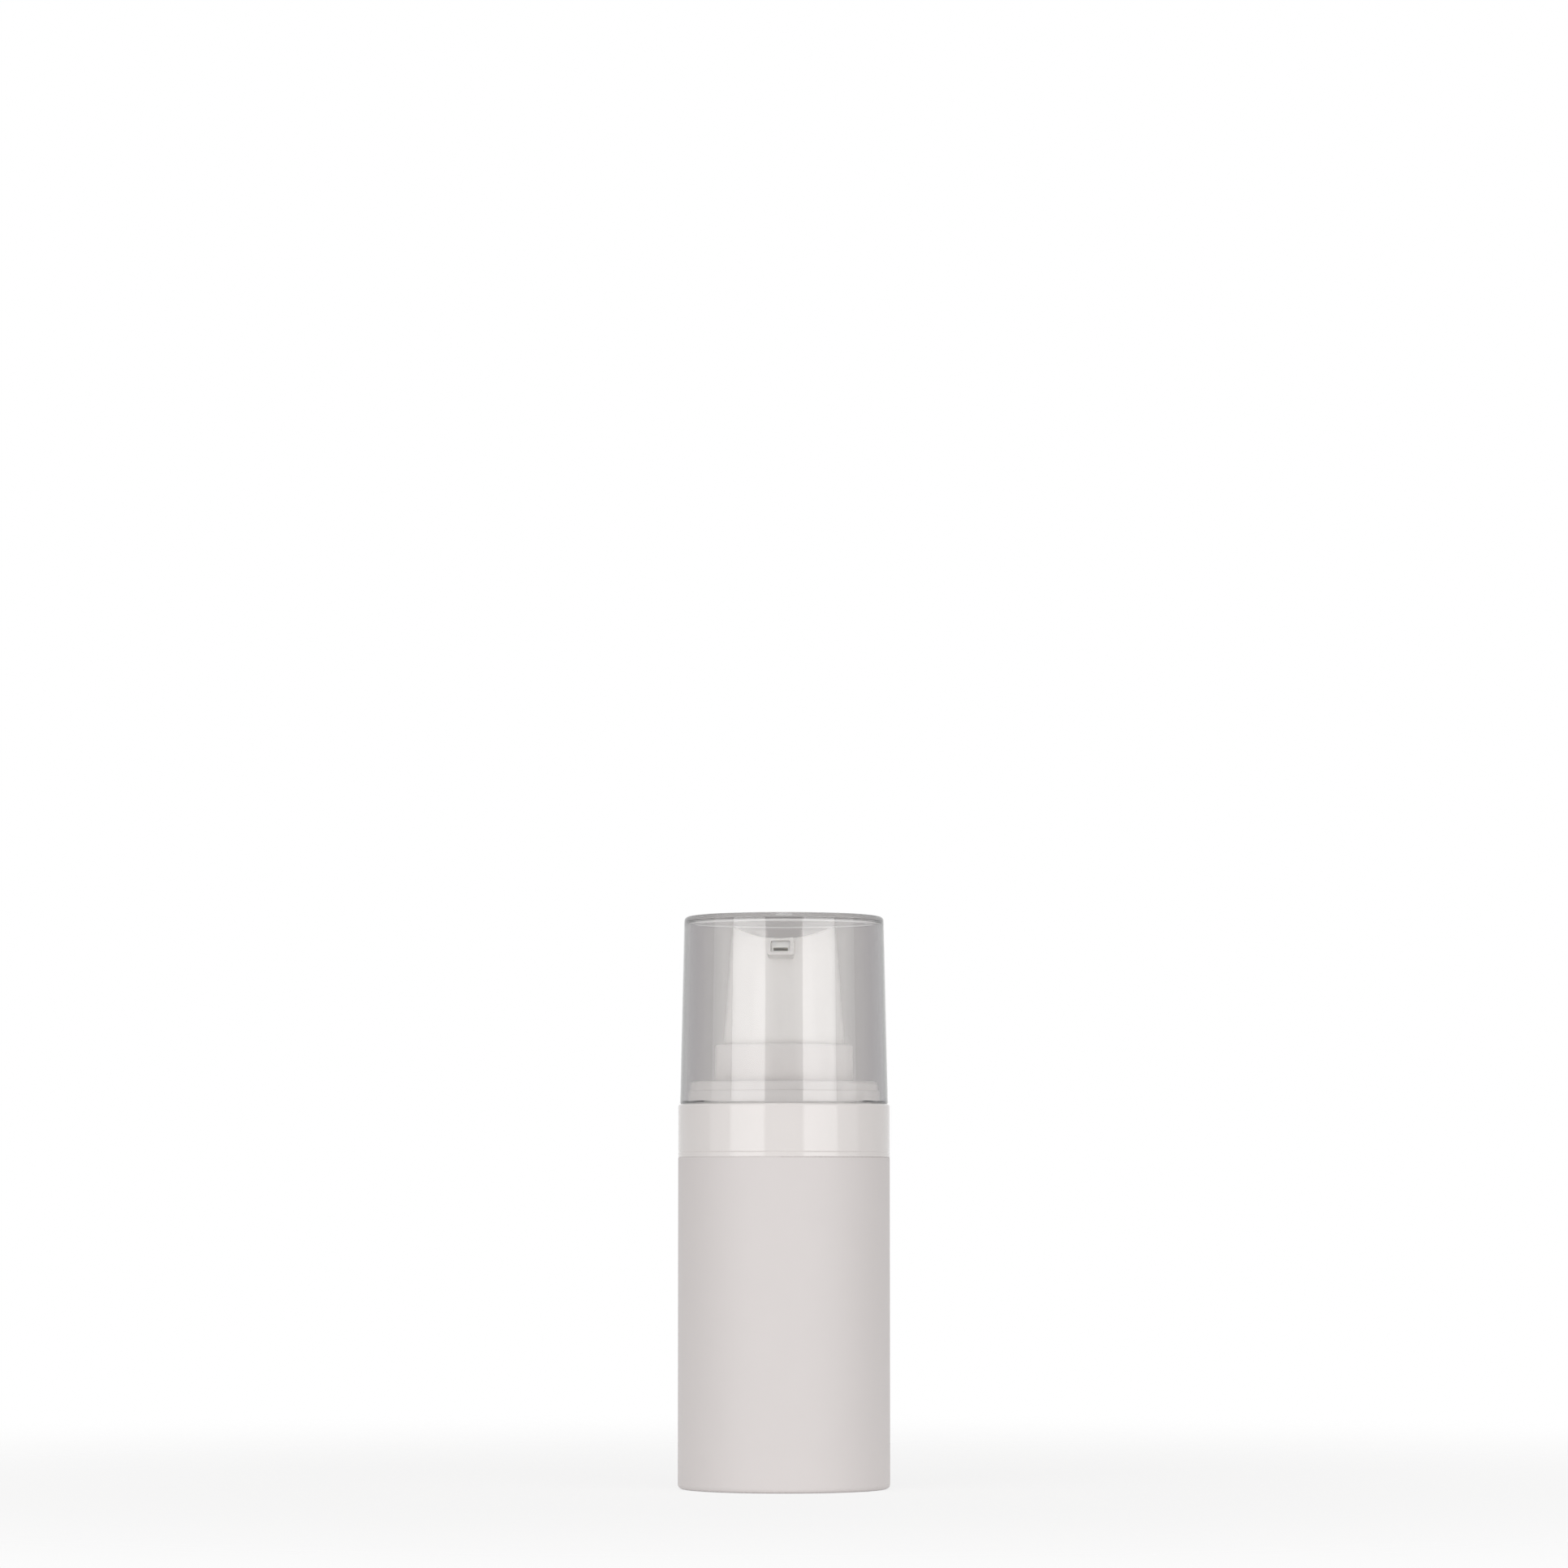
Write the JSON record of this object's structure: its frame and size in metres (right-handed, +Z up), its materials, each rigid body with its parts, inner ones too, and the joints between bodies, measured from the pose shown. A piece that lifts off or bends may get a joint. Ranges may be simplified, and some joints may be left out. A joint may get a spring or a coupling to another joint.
{
  "type": "airless pump bottle",
  "caption": "Slim cylindrical airless pump bottle with a clear pull-off cap, a scooped press button with a short spout, a glossy collar and a follower piston in the barrel.",
  "frame": {"origin": "middle of the foot's underside, on the bottle's axis", "axes": "+Z up along the bottle's axis, -Y towards the nozzle, +X to the right when the nozzle is faced"},
  "size_m": [0.036, 0.036, 0.097],
  "materials": {
    "white_satin": "satin",
    "white_gloss": "gloss",
    "clear_cap": "clear gloss",
    "natural_pp": "natural",
    "natural_pe": "natural",
    "gasket": "matt",
    "spring_steel": "bright"
  },
  "bodies": {
    "bottle_body": {"bottle": "white_satin", "base_plate": "white_satin", "collar": "white_gloss", "neck_gasket": "gasket", "pump_cylinder": "natural_pp", "stem_guide": "natural_pp", "return_spring": "spring_steel"},
    "cap": {"overcap": "clear_cap"},
    "plunger": {"pump_stem": "natural_pp", "stem_poppet": "natural_pp"},
    "button": {"actuator_button": "white_gloss", "nozzle_insert": "natural_pp"},
    "piston": {"pump_piston": "natural_pe"},
    "valve": {"inlet_valve": "natural_pe"},
    "follower": {"follower_piston": "natural_pe"}
  },
  "joints": [
    {"name": "cap_pull", "type": "slide", "parent": "bottle_body", "child": "cap", "axis": [0, 0, 1], "range_m": [0, 0.04]},
    {"name": "button_press", "type": "slide", "parent": "bottle_body", "child": "plunger", "axis": [0, 0, -1], "range_m": [0, 0.005], "stiffness_N_per_m": 900, "springref_m": -0.007, "deforming": ["return_spring"]},
    {"name": "button_swivel", "type": "hinge", "parent": "plunger", "child": "button", "pos_m": [0, 0, 0.08], "axis": [0, 0, 1], "continuous": true},
    {"name": "piston_slip", "type": "slide", "parent": "plunger", "child": "piston", "axis": [0, 0, 1], "range_m": [0, 0.0009]},
    {"name": "inlet_lift", "type": "slide", "parent": "bottle_body", "child": "valve", "axis": [0, 0, 1], "range_m": [0, 0.0008]},
    {"name": "follower_rise", "type": "slide", "parent": "bottle_body", "child": "follower", "axis": [0, 0, 1], "range_m": [0, 0.0422]}
  ]
}
